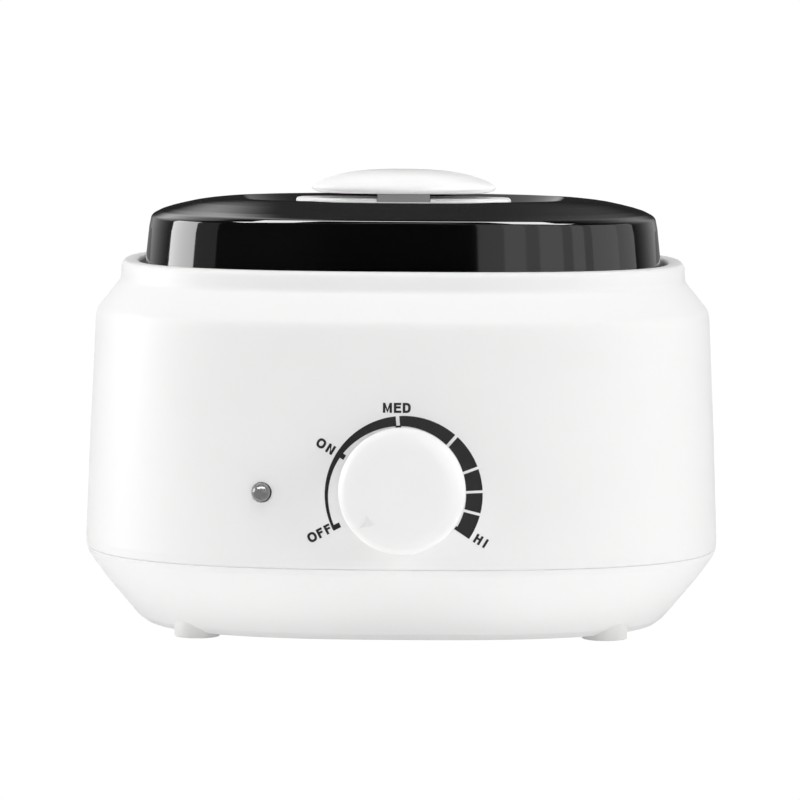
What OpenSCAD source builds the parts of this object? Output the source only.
// Wax warmer pot: squared-round white housing, lift-off black lid,
// removable aluminium pot with a folding bail, dial thermostat on the front.
// Origin: centre of the footprint, on the plane the feet stand on. +Z up, the dial faces -Y.

/* [Body] */
// Width of the housing at its widest level
body_w = 200; // [196:1:204]
// Depth of the housing at its widest level
body_d = 166; // [162:1:170]
// Squareness of the plan outline: 2 is an ellipse, larger is squarer
plan_n = 2.7; // [2.6:0.1:2.8]
// Facets round the plan outline of the shells
plan_steps = 60; // [48:12:72]
// Height of the split line between the housing and the base
seam_z = 25.4; // [25.2:0.1:25.6]

/* [Dial] */
// Height of the dial's turning axis
dial_z = 50.1; // [49.8:0.1:50.8]
// Radius of the control knob at its widest
knob_r = 19.1; // [18.5:0.1:19.5]
// Depth of the control knob, skirt to face
knob_h = 13.5; // [13:0.1:14]
// Radius of the thermostat's shaft
shaft_r = 3; // [2.9:0.05:3]
// Where the pointer stands at OFF, in degrees anticlockwise from three o'clock
pointer_deg = 221.5; // [218:0.5:225]

/* [Indicator] */
// Sideways place of the indicator lamp
lamp_x = -42.4; // [-43.5:0.1:-42]
// Height of the indicator lamp
lamp_z = 48.2; // [47.5:0.1:49]
// Radius of the lamp's lens
lamp_r = 2.9; // [2.8:0.05:3]

/* [Pot and lid] */
// Height of the folded bail's pivot
bail_z = 112.8; // [112.7:0.05:112.9]
// Radius of the bail wire
wire_r = 1.3; // [1.2:0.05:1.3]
// Radius of the tie screw under the lid's handle
tie_r = 1.9; // [1.8:0.05:1.95]

/* [Feet and screws] */
// Sideways place of the feet
foot_x = 63; // [62:0.5:64]
// Front-to-back place of the feet
foot_y = 46; // [45:0.5:47]
// Radius of a foot
foot_r = 7.05; // [6.5:0.05:7.5]
// Radius of the housing screws' shanks
screw_r = 1.45; // [1.4:0.01:1.48]

/* [Mains lead] */
// Height of the lead's entry in the rear wall
cord_z = 46; // [45:0.5:47]
// Radius of the lead
cord_r = 3; // [2.9:0.05:3]
// Turns in the tied hank
hank_turns = 5; // [4:1:5]

/* [Hidden] */
$fn = 48;
half_w = body_w / 2;
half_d = body_d / 2;

white = [0.93, 0.93, 0.93];
lead_white = [0.90, 0.90, 0.90];
steel = [0.68, 0.69, 0.70];
aluminium = [0.80, 0.81, 0.82];
brass = [0.80, 0.66, 0.32];

// ---------- outlines and sweeps ----------
// Point at the polar angle on a squared ellipse of half sizes a and b
function plan_pt(a, b, angle, n = plan_n) =
    let (r = 1 / pow(pow(abs(cos(angle)) / a, n) + pow(abs(sin(angle)) / b, n), 1 / n))
    [r * cos(angle), r * sin(angle)];
function ring(a, b, z, n = plan_n, steps = plan_steps) =
    [for (i = [0:steps - 1]) let (p = plan_pt(a, b, 360 * i / steps, n)) [p[0], p[1], z]];
// Rings from rows of [z, inset] or [z, inset in x, inset in y], inset from the body's half sizes
function inset_rings(rows) =
    [for (row = rows) ring(half_w - row[1], half_d - row[len(row) > 2 ? 2 : 1], row[0])];

// Skins a stack of rings. Closed joins the last ring to the first; otherwise both ends are capped.
module skin(stack, closed = false) {
    n = len(stack[0]);
    m = len(stack);
    sides = [for (k = [0:(closed ? m - 1 : m - 2)]) for (i = [0:n - 1])
        let (next_i = (i + 1) % n, next_k = (k + 1) % m,
             a = k * n + i, b = k * n + next_i, c = next_k * n + next_i, d = next_k * n + i)
        each [[a, c, b], [a, d, c]]];
    caps = closed ? [] : [[for (i = [0:n - 1]) i], [for (i = [n - 1:-1:0]) (m - 1) * n + i]];
    polyhedron(points = [for (r = stack) each r], faces = concat(sides, caps), convexity = 8);
}

function unit(v) = v / norm(v);
// Tube of radius r along a path of points
module tube(path, r, sides = 8) {
    last = len(path) - 1;
    skin([for (i = [0:last]) let (
            along = unit(path[min(i + 1, last)] - path[max(i - 1, 0)]),
            up = abs(along[2]) > 0.9 ? [1, 0, 0] : [0, 0, 1],
            u = unit(cross(up, along)),
            v = cross(along, u))
        [for (k = [0:sides - 1]) let (angle = 360 * k / sides)
            path[i] + r * (cos(angle) * u + sin(angle) * v)]]);
}
// Cubic Bezier path from a to d in n steps
function bezier(a, b, c, d, n) = [for (i = [0:n]) let (t = i / n, s = 1 - t)
    s * s * s * a + 3 * s * s * t * b + 3 * s * t * t * c + t * t * t * d];

// ---------- solids and placing ----------
// Cylinders along an axis, from one coordinate to another
module xcyl(r, x0, x1, y = 0, z = 0)
    translate([x0, y, z]) rotate([0, 90, 0]) cylinder(r = r, h = x1 - x0);
module ycyl(r, y0, y1, x = 0, z = 0)
    translate([x, y0, z]) rotate([-90, 0, 0]) cylinder(r = r, h = y1 - y0);
module zcyl(r, z0, z1, x = 0, y = 0) translate([x, y, z0]) cylinder(r = r, h = z1 - z0);
// Box between two corners
module box(low, high) translate(low) cube(high - low);

// The same on one side of x = 0 (side is -1 or 1), with x given as the distance outward
module side_box(side, near, far)
    box([min(side * near[0], side * far[0]), near[1], near[2]],
        [max(side * near[0], side * far[0]), far[1], far[2]]);
module side_xcyl(side, r, near, far, z)
    xcyl(r, min(side * near, side * far), max(side * near, side * far), 0, z);

// Cross recess cut upward from z into a screw head
module cross_recess(z, length, width, depth) translate([0, 0, z])
    for (angle = [0, 90]) rotate([0, 0, angle])
        translate([-length / 2, -width / 2, 0]) cube([length, width, depth]);

module at_feet() for (sx = [-1, 1]) for (sy = [-1, 1])
    translate([sx * foot_x, sy * foot_y, 0]) children();

well_screw_pts = [for (angle = [0, 40, 140, 180, 220, 320])
    plan_pt(half_w - 22, half_d - 22, angle)];
module at_well_screws() for (p = well_screw_pts) translate([p[0], p[1], 0]) children();

// ---------- housing and base ----------
well_flange_z = 103;    // top of the well's flange, under the gasket
ledge_z = 104;          // underside of the housing's ledge, on the gasket
web_l = 21;             // boss webs: length, thickness, height
web_t = 2.4;
web_h = 12;
slot_pitch = 9;         // cooling slots
slot_r = 1.6;
slot_y = 14;
slot_depth = 8;
block_y = [29, 45];     // front and rear of the terminal block
block_z = 6;            // top of the pad it stands on

// Shell profiles, as [z, inset] rows
base_outer = [[1.5, 24], [1.55, 19.2], [1.9, 18.0], [2.8, 16.9], [4.1, 15.7], [7, 13.4],
    [11, 10.1], [15, 6.8], [19, 3.9], [22, 1.9], [24, 0.75], [24.8, 0.45], [seam_z - 0.15, 0.9]];
base_inner = [[seam_z - 0.15, 3.1], [seam_z + 2.4, 3.2], [seam_z + 2.4, 5.0],
    [23, 5.2], [16, 9.5], [9, 15], [6.4, 18.6], [4.9, 23], [4.4, 27]];
housing_outer = [[seam_z, 0.9], [seam_z + 0.6, 0.35], [28, 0.3], [60, 1.5], [96, 3.2],
    [98.5, 3.5], [99.8, 4.1], [101, 5.0], [104, 7.5], [107, 9.9], [108.6, 10.9], [110, 11.1],
    [111.5, 11.2], [112.7, 11.6], [113.6, 12.4], [114.2, 13.6], [114.35, 14.8]];
housing_inner = [[114.1, 15.9], [113.3, 16.7], [112.2, 16.9], [108, 16.9], [108, 26],
    [ledge_z, 26], [ledge_z, 10.8], [101, 8.3], [98.2, 6.5], [96, 5.8], [60, 4.1], [28, 3.0],
    [seam_z, 2.9]];

module upper_housing() color(white) difference() {
    union() {
        skin(inset_rings(concat(housing_outer, housing_inner)), closed = true);
        // screw bosses with webs to the wall
        at_feet() zcyl(4, 16, 42);
        for (sx = [-1, 1]) for (sy = [-1, 1])
            translate([sx * foot_x, sy * foot_y, 28.5])
                rotate([0, 0, atan2(sy * foot_y, sx * foot_x)])
                    translate([0, -web_t / 2, 0]) cube([web_l, web_t, web_h]);
        // sleeve that holds the lamp
        ycyl(5, -76.8, -71, lamp_x, lamp_z);
    }
    at_feet() zcyl(screw_r + 0.05, 15, 34);
    // openings for the dial, the lamp and the lead
    ycyl(5, -90, -70, 0, dial_z);
    ycyl(lamp_r + 0.1, -90, -60, lamp_x, lamp_z);
    ycyl(6, 70, 90, 0, cord_z);
    // blind holes for the well's screws, under the ledge
    at_well_screws() zcyl(1.45, well_flange_z, 106.8);
}

module base_shell() color(white) difference() {
    union() {
        skin(inset_rings(concat(base_outer, base_inner)));
        at_feet() zcyl(5.2, 4.4, 16);
        // pad under the terminal block
        box([-9.5, block_y[0] - 0.5, 4], [9.5, block_y[1] + 0.5, block_z]);
    }
    // counterbores and screw holes
    at_feet() {
        zcyl(3.4, -1, 12);
        zcyl(screw_r + 0.15, 0, 20);
    }
    // cooling slots in the underside
    for (i = [-3:3]) {
        x = i * slot_pitch;
        for (side = [-1, 1]) zcyl(slot_r, 0, slot_depth, x, side * slot_y);
        box([x - slot_r, -slot_y, 0], [x + slot_r, slot_y, slot_depth]);
    }
}

// Short round feet whose tops follow the base's rounded edge, open in the middle for the screws
module rubber_feet() color([0.88, 0.88, 0.87]) difference() {
    at_feet() zcyl(foot_r, 0, 7.4);
    skin(inset_rings(concat(base_outer, [[30, 0.9]])));
    at_feet() zcyl(3.6, -1, 11);
}

module base_screws() color(steel) at_feet() difference() {
    union() {
        zcyl(2.9, 9.9, 12);
        zcyl(screw_r, 11.9, 31.9);
    }
    cross_recess(9.8, 3.4, 0.7, 1.2);
}

// ---------- heating well ----------
well_hole_r = 1.6;
band_gap = 5;           // half the gap between the band's ends
clamp_y = 62;           // axis of the band's clamp screw
clamp_z = 77;
clamp_end = -12;        // tip of the clamp screw

// [z, inset] rows: outside from the bottom up, round the flange, then down the inside
well_profile = [[30, 41], [30.3, 37], [32, 33.4], [36, 30.6], [44, 29], [101.8, 26.8],
    [101.8, 18], [well_flange_z, 18], [well_flange_z, 28], [44, 30.2], [36.8, 31.7],
    [33.2, 34.4], [31.6, 37.8], [31.2, 41.5]];

module heating_well() color(aluminium) difference() {
    skin(inset_rings(well_profile));
    at_well_screws() zcyl(well_hole_r, 100, 105);
}

module well_gasket() color([0.75, 0.74, 0.72]) difference() {
    skin(inset_rings([[well_flange_z, 18.4], [ledge_z, 18.4],
        [ledge_z, 25.8], [well_flange_z, 25.8]]), closed = true);
    at_well_screws() zcyl(well_hole_r, 100, 106);
}

module well_screws() color(steel) at_well_screws() difference() {
    union() {
        zcyl(2.7, 99.8, 101.8);
        zcyl(1.4, 101.7, 106.7);
    }
    cross_recess(99.7, 3.2, 0.7, 1.1);
}

// Band round the well, split at the rear between two clamp lugs
module heater_band() color([0.62, 0.60, 0.56]) difference() {
    union() {
        skin(inset_rings([[62, 26.4], [92, 25.3], [92, 27.0], [62, 28.1]]), closed = true);
        for (side = [-1, 1])
            side_box(side, [band_gap, 55.5, 70], [band_gap + 1.4, 67, 84]);
    }
    box([-band_gap, 30, 60], [band_gap, 75, 95]);
    xcyl(2.05, -12, 12, clamp_y, clamp_z);
}
module band_screw() color(steel) {
    xcyl(1.95, clamp_end, 6.6, clamp_y, clamp_z);
    xcyl(3.5, 6.5, 9.1, clamp_y, clamp_z);
}
module band_nut() color(steel) difference() {
    xcyl(4.1, -9.7, -6.5, clamp_y, clamp_z, $fn = 6);
    xcyl(2.0, clamp_end, 0, clamp_y, clamp_z);
}

// ---------- thermostat and dial ----------
thermostat_screw_x = 16.5;
flange_x = 20;              // half width of the bracket and the body's flange
tab_y = [-67.5, -62.5];     // front and rear edges of the tabs
tab_z = [46.6, 47.4];
tab_gap = 0.1;              // clearance round a tab in its slot
tab_mid_y = (tab_y[0] + tab_y[1]) / 2;

module thermostat_screw_holes() for (side = [-1, 1])
    ycyl(1.6, -60, -50, side * thermostat_screw_x, dial_z);

module thermostat_bracket() color(steel) difference() {
    box([-flange_x, -56.3, 40.3], [flange_x, -55.0, 60.3]);
    thermostat_screw_holes();
}
module thermostat_body() color([0.86, 0.84, 0.78]) difference() {
    union() {
        // flange, block and two front collars
        box([-flange_x, -57.6, 44.3], [flange_x, -56.4, 56.3]);
        box([-11, -71.5, 41.8], [11, -57.5, 58.8]);
        ycyl(8, -73, -71.4, 0, dial_z);
        ycyl(5.2, -77, -72.9, 0, dial_z);
    }
    ycyl(shaft_r + 0.05, -80, -60, 0, dial_z);
    thermostat_screw_holes();
    for (side = [-1, 1])
        side_box(side, [9.8, tab_y[0] - tab_gap, tab_z[0] - tab_gap],
            [12, tab_y[1] + tab_gap, tab_z[1] + tab_gap]);
}
module thermostat_screws() color(steel) for (side = [-1, 1]) {
    ycyl(2.8, -59.7, -57.6, side * thermostat_screw_x, dial_z);
    ycyl(1.5, -57.7, -55.1, side * thermostat_screw_x, dial_z);
}
module thermostat_tabs() color(brass) for (side = [-1, 1]) difference() {
    side_box(side, [9.9, tab_y[0], tab_z[0]], [19, tab_y[1], tab_z[1]]);
    zcyl(0.9, 45, 49, side * 16, tab_mid_y);
}
// Shaft with a flat on top of its front end
module thermostat_shaft() color(steel) difference() {
    ycyl(shaft_r, -92, -60.6, 0, dial_z);
    box([-4, -93, dial_z + shaft_r - 0.8], [4, -84, dial_z + shaft_r + 1]);
}

front_wall_y = -(half_d - 1.1);     // front face at the dial's height
knob_y = front_wall_y - 1.2;        // rear edge of the knob's skirt

// [radius, distance forward of the skirt's rear edge]: outside, face, then inside
knob_profile = [
    [knob_r - 2.8, 0], [knob_r - 1.3, 0], [knob_r - 1, 0.4], [knob_r - 0.25, 5.5],
    [knob_r, 8.6], [knob_r - 0.2, knob_h - 3.6], [knob_r - 0.7, knob_h - 2.4],
    [knob_r - 1.7, knob_h - 1.4], [knob_r - 3.2, knob_h - 0.7], [knob_r - 5.4, knob_h - 0.3],
    [knob_r - 9, knob_h - 0.05], [0, knob_h], [0, knob_h - 2.4], [knob_r - 5.8, knob_h - 2.8],
    [knob_r - 2.8, knob_h - 4.4], [knob_r - 1.9, knob_h - 6.6], [knob_r - 2.1, 5]];

module control_knob() color(white) translate([0, knob_y, dial_z]) {
    difference() {
        union() {
            rotate([90, 0, 0]) rotate_extrude($fn = 96) polygon(knob_profile);
            // hub
            ycyl(5.6, -(knob_h - 2), -1.5);
            // raised pointer
            rotate([0, -pointer_deg, 0]) translate([0, -(knob_h - 1.2), 0]) rotate([90, 0, 0])
                linear_extrude(1.35) polygon([[12.2, -1.9], [12.2, 1.9], [16.8, 0]]);
        }
        ycyl(shaft_r + 0.03, -10, 1);
    }
    // flat that keys the knob to the shaft
    box([-3.4, -9, shaft_r - 0.75], [3.4, -2.5, shaft_r + 1.2]);
}

// ---------- indicator ----------
lens_tip_y = -78.9;     // centre of the lens's domed front
lens_back_y = -70;

module indicator_lens() color([0.55, 0.55, 0.56]) translate([lamp_x, 0, lamp_z]) {
    ycyl(lamp_r, lens_tip_y, -70.9);
    translate([0, lens_tip_y, 0]) sphere(r = lamp_r);
    ycyl(3.7, -71, lens_back_y);
}
// Cup over the rear of the lamp's sleeve
module lamp_retainer() color([0.15, 0.15, 0.15]) difference() {
    ycyl(6.3, -73.5, -67.5, lamp_x, lamp_z);
    ycyl(5.05, -74, -69.9, lamp_x, lamp_z);
    ycyl(2, -74, -60, lamp_x, lamp_z);
}
module lamp_leads() color([0.78, 0.78, 0.79]) for (side = [-1, 1])
    ycyl(0.3, lens_back_y, -60, lamp_x + side * 1.27, lamp_z);

// ---------- fuse, terminals, wiring ----------
fuse_x = -74.2;
fuse_z = 50;
way_x = 4.6;            // sideways place of each way of the block
way_half_w = 3.4;
way_z = 10.5;           // height of the wire entries
block_screw_y = [33, 41];
wire_steps = 18;

module thermal_fuse() color([0.72, 0.72, 0.70]) {
    ycyl(2, -6, 6, fuse_x, fuse_z);
    ycyl(0.45, -13, 13, fuse_x, fuse_z);
}
module fuse_clip() color(steel) difference() {
    union() {
        ycyl(2.7, -3, 3, fuse_x, fuse_z);
        box([fuse_x + 0.8, -3, fuse_z], [fuse_x + 2.3, 3, fuse_z + 8]);
    }
    ycyl(2.05, -4, 4, fuse_x, fuse_z);
}
module terminal_block() color([0.94, 0.94, 0.92]) difference() {
    union() {
        box([-9, block_y[0], block_z], [9, block_y[1], 13]);
        for (side = [-1, 1])
            box([side * way_x - way_half_w, block_y[0], 12.9],
                [side * way_x + way_half_w, block_y[1], 18]);
    }
    for (side = [-1, 1]) {
        ycyl(1.6, 20, 50, side * way_x, way_z);
        for (y = block_screw_y) zcyl(1.9, 10, 19, side * way_x, y);
    }
    zcyl(1.3, 0, 20, 0, (block_y[0] + block_y[1]) / 2);
}
module terminal_screws() color(brass) for (side = [-1, 1]) for (y = block_screw_y)
    translate([side * way_x, y, 0]) difference() {
        zcyl(1.8, 12.3, 16.5);
        box([-1.9, -0.3, 15.6], [1.9, 0.3, 16.8]);
    }

// A wire swept along a Bezier curve
module wire(a, b, c, d, steps = wire_steps) tube(bezier(a, b, c, d, steps), 0.9);

module lead_wires() color([0.85, 0.85, 0.83]) {
    tab_x = 17;
    tab_wire_z = 46.5;
    block_front = block_y[0] - 1;
    heater = [14, 57.9, 66];
    heater_left = [-heater[0], heater[1], heater[2]];
    // mains conductors to the block
    for (side = [-1, 1])
        wire([side * 1.4, 68.5, cord_z], [side * 1.6, 60, cord_z],
            [side * 6, 66, way_z], [side * way_x, block_y[1] + 1, way_z], steps = 16);
    // block to thermostat
    wire([-way_x, block_front, way_z], [-6, -30, 10], [tab_x, -66, 12],
        [tab_x, tab_mid_y, tab_wire_z]);
    // thermostat to fuse
    wire([-tab_x, tab_mid_y, tab_wire_z], [-tab_x, -66, 14], [-70, -50, 16],
        [fuse_x, -14, fuse_z]);
    // fuse to one end of the heater
    wire([fuse_x, 14, fuse_z], [-74, 50, 40], [-20, 64, 40], heater_left);
    // block to the other end
    wire([way_x, block_front, way_z], [6, 12, 10], [64, 66, 14], heater);
}

// ---------- mains lead ----------
// Flanged boot through the rear wall, with a ribbed tail
module cord_boot() color(lead_white) difference() {
    union() {
        ycyl(8, 76.4, 79.0, 0, cord_z);
        ycyl(5.85, 78.9, 82.7, 0, cord_z);
        ycyl(7.6, 82.6, 84.8, 0, cord_z);
        translate([0, 84.7, cord_z]) rotate([-90, 0, 0]) cylinder(r1 = 5.4, r2 = 4.2, h = 21);
    }
    ycyl(cord_r + 0.05, 70, 110, 0, cord_z);
    // grooves round the tail
    for (y = [89:4:101]) difference() {
        ycyl(7, y, y + 1.6, 0, cord_z);
        ycyl(3.9, y - 1, y + 3, 0, cord_z);
    }
}

// The hank: a stadium-shaped coil, wound from the top down
hank_x = -45;
hank_y = 112;
hank_l = 24;            // half length of a straight
hank_r = 14;            // radius of a bend
hank_bend = PI * hank_r;
hank_lap = 4 * hank_l + 2 * hank_bend;
hank_steps = 32;        // points per turn
hank_low = 4;
hank_top = hank_low + 6.2 * (hank_turns - 0.05);
hank_front = hank_y - hank_r;
hank_rear = hank_y + hank_r;
plug_at = [12, 104, 7.05];      // where the lead enters the plug
plug_y = plug_at[1];

// Point on a bend centred at x, a run of arc past the start angle
function bend_pt(x, start, run) = let (angle = start + run / hank_r * 180 / PI)
    [x + hank_r * cos(angle), hank_r * sin(angle)];
// Point on the coil after a number of turns, from the right end of the rear straight
function stadium(turns) = let (s = (turns - floor(turns)) * hank_lap)
    s < 2 * hank_l ? [hank_l - s, hank_r]
    : s < 2 * hank_l + hank_bend ? bend_pt(-hank_l, 90, s - 2 * hank_l)
    : s < 4 * hank_l + hank_bend ? [s - 3 * hank_l - hank_bend, -hank_r]
    : bend_pt(hank_l, 270, s - 4 * hank_l - hank_bend);

hank_start = [hank_x + hank_l, hank_rear, hank_top];
cord_path = concat(
    [[0, 69, cord_z], [0, 84, cord_z]],
    bezier([0, 104, cord_z], [0, 121, cord_z], [5, hank_rear, hank_top + 0.6], hank_start, 14),
    [for (i = [1:(hank_turns - 1) * hank_steps + 24])
        let (turns = i / hank_steps, p = stadium(turns))
        [hank_x + p[0], hank_y + p[1],
            hank_top - (hank_top - hank_low) * min(1, turns / (hank_turns - 0.5))]],
    bezier([-18, hank_front, hank_low], [-10, hank_front, hank_low],
        plug_at - [16, 0, 0], plug_at, 10),
    [plug_at + [8, 0, 0]]
);
module power_cord() color(lead_white) tube(cord_path, cord_r);

// Strap round the hank
module cord_tie() color([0.16, 0.16, 0.17]) difference() {
    box([hank_x - 3, hank_front - 4.4, 0.1], [hank_x + 3, hank_rear + 4.4, hank_top + 4.2]);
    box([hank_x - 4, hank_front - 3.7, 0.7], [hank_x + 4, hank_rear + 3.7, hank_top + 3.5]);
}

// Two-pin plug, pins toward +X. Outlines run from the lead's entry.
pin_y = 9.3;            // sideways place of each pin
plug_half_h = 6.85;
plug_plan = [[0, -4.6], [7, -6], [12, -10], [17, -15], [21, -17], [33, -17], [36, -14.5],
    [36, 14.5], [33, 17], [21, 17], [17, 15], [12, 10], [7, 6], [0, 4.6]];
plug_side = [[-1, -4.4], [10, -6.6], [13, -plug_half_h], [34, -plug_half_h], [37, -5],
    [37, 5], [34, plug_half_h], [13, plug_half_h], [10, 6.6], [-1, 4.4]];

module plug_body() color(lead_white) translate(plug_at) difference() {
    intersection() {
        translate([0, 0, -plug_half_h]) linear_extrude(2 * plug_half_h) polygon(plug_plan);
        translate([0, 20, 0]) rotate([90, 0, 0]) linear_extrude(40) polygon(plug_side);
    }
    xcyl(cord_r + 0.05, -1, 9);
    for (side = [-1, 1]) xcyl(1.72, 27, 40, side * pin_y);
}
module plug_pins() color([0.80, 0.80, 0.78]) for (side = [-1, 1]) {
    y = plug_y + side * pin_y;
    xcyl(1.7, 39.2, 48.1, y, plug_at[2]);
    xcyl(2, 48, 65.5, y, plug_at[2]);
    xcyl(1.6, 65.4, 67, y, plug_at[2]);
}

// ---------- removable pot ----------
rim_z = 109;            // top of the pot's rim
ear_t = 1;              // thickness of an ear's foot
ear_x = [72.4, 73.6];   // inner and outer faces of an ear
ear_r = 3.2;

// [z, inset] rows: outside from the bottom up, round the rim, then down the inside
pot_profile = [[31.6, 42], [32.1, 38.6], [34.2, 35.4], [37.8, 32.8], [45, 31.2], [106.8, 28.9],
    [107.6, 28.2], [108, 27], [108, 17.6], [rim_z, 17.6], [rim_z, 28.4], [108, 29.6],
    [45, 32.2], [38.4, 33.8], [35.1, 36.2], [33.2, 39.2], [32.6, 42.4]];

module at_rivets(side) for (y = [-4, 4]) translate([side * 76, y, 0]) children();

module inner_pot() color(aluminium) difference() {
    skin(inset_rings(pot_profile));
    for (side = [-1, 1]) at_rivets(side) zcyl(1.25, 106, 111);
}
module bail_ears() color(steel) for (side = [-1, 1]) difference() {
    union() {
        side_box(side, [ear_x[0], -6.5, rim_z], [78.4, 6.5, rim_z + ear_t]);
        side_box(side, [ear_x[0], -ear_r, rim_z], [ear_x[1], ear_r, bail_z]);
        side_xcyl(side, ear_r, ear_x[0], ear_x[1], bail_z);
    }
    xcyl(wire_r + 0.06, -90, 90, 0, bail_z);
    at_rivets(side) zcyl(1.25, 106, 111);
}
module ear_rivets() color(steel) for (side = [-1, 1]) at_rivets(side) {
    zcyl(1.2, 108.1, 110.05);
    translate([0, 0, rim_z + ear_t]) cylinder(r1 = 2.1, r2 = 1.4, h = 0.8);
}

// Wire bail, folded forward inside the rim. Its ends pass inward through the ears.
bail_steps = 32;
bail_path = [for (i = [0:bail_steps])
    let (p = plan_pt(75.6, 59.5, -180 * i / bail_steps, 2.5)) [p[0], p[1], bail_z]];
module bail_handle() color(steel) {
    tube(bail_path, wire_r, 10);
    for (side = [-1, 1]) side_xcyl(side, wire_r, 70.8, 76.2, bail_z);
}

// ---------- lid ----------
// [z, inset] or [z, inset in x, inset in y] rows: underside, skirt, then the top inward
lid_profile = [[127.8, 62, 62], [127.95, 56.5, 57.8], [128.6, 53.4, 54.9], [129.9, 51, 52.6],
    [130.9, 48.6, 50.2], [131.25, 45.5, 47.1], [130.9, 39.5, 40.9], [130.1, 34, 35],
    [129, 29.6, 30], [127.9, 25.6], [126.9, 23.4], [125.8, 22.6], [124.2, 22.1],
    [113.3, 20.9], [109.05, 20.6], [109.05, 18.3], [113.3, 18.6], [125, 19.85],
    [127.3, 20.6, 20.15], [128.6, 21.5, 20.7], [129.4, 23, 22.2], [130.05, 24.6, 24.2],
    [130.65, 26.2, 26.9], [131.7, 30.1, 34], [132.65, 33.9, 40.7], [133.3, 37.5, 45.2],
    [133.7, 42, 48], [133.85, 47.7, 49.9], [133.4, 49.9, 51.4], [131.2, 53, 54.6],
    [130.3, 55.4, 56.8], [130, 59, 60]];
// [z, half length] rows of the two handle parts
handle_base_profile = [[130.02, 31], [131.85, 31], [132.15, 33.2], [132.7, 33.9],
    [133.2, 33.9], [133.7, 33.4], [133.95, 32.4]];
handle_cap_profile = [[135.52, 25.6], [135.8, 27.4], [136.4, 28.7], [137.2, 29.1], [138, 28.7],
    [138.9, 27.4], [139.6, 25.7], [140.3, 23.8], [141, 21.5], [141.6, 19], [142.2, 15.6],
    [142.65, 11.8], [142.95, 6]];

// Hole for the tie screw, wider than it by a clearance
module tie_hole(clearance, top = 200) zcyl(tie_r + clearance, 0, top);

module lid_shell() color([0.06, 0.06, 0.06]) difference() {
    skin(inset_rings(lid_profile));
    tie_hole(0.1);
}
module handle_base() color(white) difference() {
    skin([for (p = handle_base_profile) ring(p[1], p[1] - 23.7, p[0], 4, 64)]);
    // channel the stem block sits in
    box([-8.45, -40, 132], [8.45, 40, 140]);
    tie_hole(0.1);
}
module handle_stem() color([0.5, 0.5, 0.5]) difference() {
    box([-8.3, -10.7, 132.02], [8.3, 10.7, 135.5]);
    tie_hole(0.1);
}
module handle_cap() color(white) difference() {
    skin([for (p = handle_cap_profile) ring(p[1], p[1] * 0.47, p[0], 2.3, 48)]);
    tie_hole(0.02, top = 140.4);
}
module handle_screw() color(steel) difference() {
    union() {
        zcyl(3.6, 124.4, 126.8);
        zcyl(tie_r, 126.7, 139.9);
    }
    cross_recess(124.3, 4.2, 0.9, 1.5);
}
module handle_washer() color(steel) difference() {
    zcyl(4.8, 126.82, 127.77);
    tie_hole(0.15);
}

upper_housing();
base_shell();
rubber_feet();
base_screws();
heating_well();
well_gasket();
well_screws();
heater_band();
band_screw();
band_nut();
thermostat_bracket();
thermostat_body();
thermostat_screws();
thermostat_tabs();
thermostat_shaft();
control_knob();
indicator_lens();
lamp_retainer();
lamp_leads();
thermal_fuse();
fuse_clip();
terminal_block();
terminal_screws();
lead_wires();
cord_boot();
power_cord();
cord_tie();
plug_body();
plug_pins();
inner_pot();
bail_ears();
ear_rivets();
bail_handle();
lid_shell();
handle_base();
handle_stem();
handle_cap();
handle_screw();
handle_washer();
